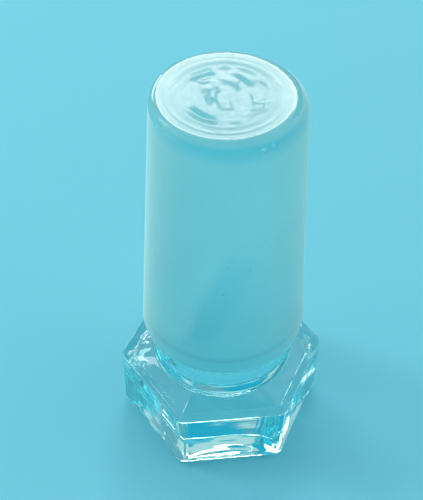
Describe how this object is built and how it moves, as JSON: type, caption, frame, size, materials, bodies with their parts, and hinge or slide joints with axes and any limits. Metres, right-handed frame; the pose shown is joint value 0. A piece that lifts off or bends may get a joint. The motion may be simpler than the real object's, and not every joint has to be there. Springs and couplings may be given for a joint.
{
  "type": "glass stopper",
  "caption": "Solid pressed glass stopper with a flat hexagonal head, a hollowed neck and a frosted ground taper that seals a small conical neck.",
  "frame": {"origin": "centre of the head's flat outer face, which the stopper stands on", "axes": "+Z along the ground taper from the head to the end face; +X through a corner of the hexagonal head, +Y through a flat"},
  "size_m": [0.0188, 0.0166, 0.0371],
  "materials": {
    "glass": "clear and fire polished on the head, neck and end face; finely ground and frosted on the tapered shank"
  },
  "bodies": {
    "root": {"stopper": "glass"}
  },
  "joints": []
}
